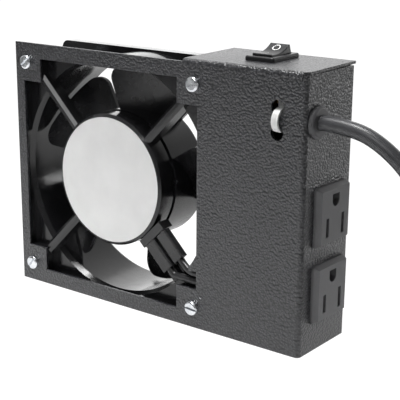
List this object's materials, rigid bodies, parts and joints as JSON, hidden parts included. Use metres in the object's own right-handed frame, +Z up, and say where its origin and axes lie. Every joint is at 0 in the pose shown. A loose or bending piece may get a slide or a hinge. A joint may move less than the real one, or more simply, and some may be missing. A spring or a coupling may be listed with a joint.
{
  "type": "fan and outlet box",
  "caption": "Axial cooling fan behind a folded black sheet plate, with a switched power box beside it: rocker switch on top, grounded outlets and a cord on its side.",
  "frame": {"origin": "centre of the bottom of the object's box, without its free cord", "axes": "+X from the fan towards the outlets, +Y from the plate's front to the back, +Z up"},
  "size_m": [0.3255, 0.0756, 0.1317],
  "materials": {
    "powder_coat": "wrinkle powder coat, black",
    "fan_casting": "gloss black paint on die casting",
    "blade_plastic": "black, slight sheen",
    "label_foil": "bare pale silver foil",
    "zinc": "zinc plated",
    "bearing_steel": "ground steel",
    "lamination_steel": "stacked laminations",
    "copper": "enamelled copper wire",
    "block_plastic": "black moulded",
    "sleeve_plastic": "black insulating sleeve",
    "tinned_brass": "tin plated",
    "black_wire": "black insulation",
    "white_wire": "white insulation",
    "green_wire": "green insulation",
    "switch_plastic": "black, fine texture",
    "outlet_plastic": "charcoal moulded",
    "brass": "plain brass",
    "grommet_rubber": "dark grey rubber",
    "cord_jacket": "dark grey jacket",
    "white_nylon": "natural nylon",
    "wrap_fabric": "black hook and loop strap",
    "barrier_board": "grey insulating board"
  },
  "bodies": {
    "housing": {"housing": "powder_coat", "fan_frame": "fan_casting", "fan_label": "label_foil", "fan_screws": "zinc", "fan_nuts": "zinc", "ground_stud": "zinc", "ground_nut": "zinc", "front_bearing": "bearing_steel", "rear_bearing": "bearing_steel", "stator_core": "lamination_steel", "stator_coils": "copper", "terminal_block": "block_plastic", "terminal_sleeves": "sleeve_plastic", "fan_terminals": "tinned_brass", "switch_terminals": "tinned_brass", "ring_terminals": "tinned_brass", "fan_leads": "black_wire", "line_wires": "black_wire", "neutral_wire": "white_wire", "ground_wires": "green_wire", "switch_body": "switch_plastic", "outlet_upper": "outlet_plastic", "outlet_lower": "outlet_plastic", "contacts_upper": "brass", "contacts_lower": "brass", "line_bus": "brass", "neutral_bus": "brass", "ground_bus": "brass", "plug_blades": "brass", "cord_grommet": "grommet_rubber", "cord_inner": "cord_jacket", "power_cord": "cord_jacket", "power_cord_coil": "cord_jacket", "power_cord_tail": "cord_jacket", "plug_body": "cord_jacket", "cable_tie": "white_nylon", "coil_wrap": "wrap_fabric", "barrier": "barrier_board"},
    "impeller": {"impeller": "blade_plastic", "rotor_ring": "lamination_steel", "rotor_shaft": "bearing_steel", "shaft_clip": "zinc", "spring_washer": "zinc"},
    "rocker": {"switch_rocker": "switch_plastic"},
    "contact bar": {"contact_bar": "tinned_brass"}
  },
  "joints": [
    {"name": "fan_spin", "type": "hinge", "parent": "housing", "child": "impeller", "pos_m": [-0.0272, 0.0016, 0.062], "axis": [0, 1, 0], "continuous": true},
    {"name": "rocker_tilt", "type": "hinge", "parent": "housing", "child": "rocker", "pos_m": [0.0512, 0.00439, 0.12574], "axis": [-1, 0, 0], "range_deg": [0, 24]},
    {"name": "contact_rock", "type": "hinge", "parent": "housing", "child": "contact bar", "pos_m": [0.0512, 0.00455, 0.11654], "axis": [1, 0, 0], "range_deg": [0, 16]}
  ],
  "couplings": [
    {"joint": "contact_rock", "follows": "rocker_tilt", "ratio": 0.66667}
  ]
}
